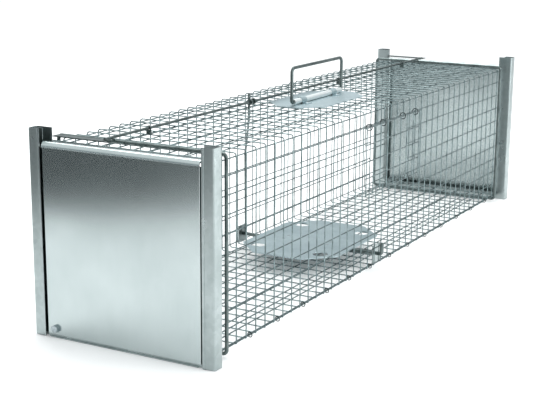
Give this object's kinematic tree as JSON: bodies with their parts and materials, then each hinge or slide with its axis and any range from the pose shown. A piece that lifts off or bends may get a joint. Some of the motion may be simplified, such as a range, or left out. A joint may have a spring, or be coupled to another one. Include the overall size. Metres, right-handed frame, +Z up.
{
  "type": "live catch trap",
  "caption": "Long wire mesh live trap with a sheet metal drop door at each end, a treadle inside and a carrying handle on top.",
  "frame": {"origin": "middle of the resting plane under the cage", "axes": "+X along the cage from the front door to the rear door, +Y across it to the left side, +Z up"},
  "size_m": [1.112, 0.2828, 0.3223],
  "materials": {
    "mesh_wire": "satin",
    "dark_wire": "satin",
    "rod_steel": "satin",
    "rail_sheet": "satin",
    "door_sheet": "satin",
    "zinc_plate": "satin",
    "bright_tube": "glossy",
    "fastener": "satin"
  },
  "bodies": {
    "cage": {"mesh_roof": "mesh_wire", "mesh_floor": "mesh_wire", "mesh_side_right": "mesh_wire", "mesh_side_left": "mesh_wire", "seam_rings": "dark_wire", "end_ring_front": "rod_steel", "end_ring_rear": "rod_steel", "rail_front_right": "rail_sheet", "rail_front_left": "rail_sheet", "rail_rear_right": "rail_sheet", "rail_rear_left": "rail_sheet", "rail_rivets": "fastener", "sill_front": "rail_sheet", "sill_rear": "rail_sheet", "handle_plate": "zinc_plate", "plate_rivets": "fastener", "handle_sleeve": "bright_tube", "sleeve_saddles": "zinc_plate", "rod_guides": "rod_steel", "bearing_right": "rail_sheet", "bearing_left": "rail_sheet", "flap_rings": "dark_wire"},
    "door_front": {"door_front": "door_sheet", "stop_bolt_front": "fastener", "stop_nut_front": "fastener"},
    "door_rear": {"door_rear": "door_sheet", "stop_bolt_rear": "fastener", "stop_nut_rear": "fastener"},
    "handle": {"carry_handle": "rod_steel"},
    "trigger": {"trigger_rod": "rod_steel", "rod_collars": "dark_wire", "catch_bar_front": "zinc_plate", "catch_bar_rear": "zinc_plate"},
    "treadle": {"treadle_plate": "zinc_plate", "treadle_axle": "rod_steel", "treadle_straps": "zinc_plate", "treadle_rivets": "fastener", "trigger_lever": "rod_steel"},
    "flap": {"bait_flap": "mesh_wire", "flap_catch": "dark_wire"}
  },
  "joints": [
    {"name": "front_door_slide", "type": "slide", "parent": "cage", "child": "door_front", "axis": [0, 0, 1], "range_m": [0, 0.2645]},
    {"name": "rear_door_slide", "type": "slide", "parent": "cage", "child": "door_rear", "axis": [0, 0, 1], "range_m": [0, 0.2645]},
    {"name": "handle_swing", "type": "hinge", "parent": "cage", "child": "handle", "pos_m": [-0.026, -0.008, 0.2667], "axis": [1, 0, 0], "range_deg": [-80, 88]},
    {"name": "treadle_rock", "type": "hinge", "parent": "cage", "child": "treadle", "pos_m": [-0.0375, 0, 0.025], "axis": [0, 1, 0], "range_deg": [-3.5, 3.5]},
    {"name": "trigger_slide", "type": "slide", "parent": "cage", "child": "trigger", "axis": [1, 0, 0], "range_m": [-0.015, 0.015]},
    {"name": "flap_swing", "type": "hinge", "parent": "cage", "child": "flap", "pos_m": [0, -0.13, 0.235], "axis": [-1, 0, 0], "range_deg": [0, 110]}
  ],
  "couplings": [
    {"joint": "trigger_slide", "follows": "treadle_rock", "m_per_rad": 0.2445}
  ]
}
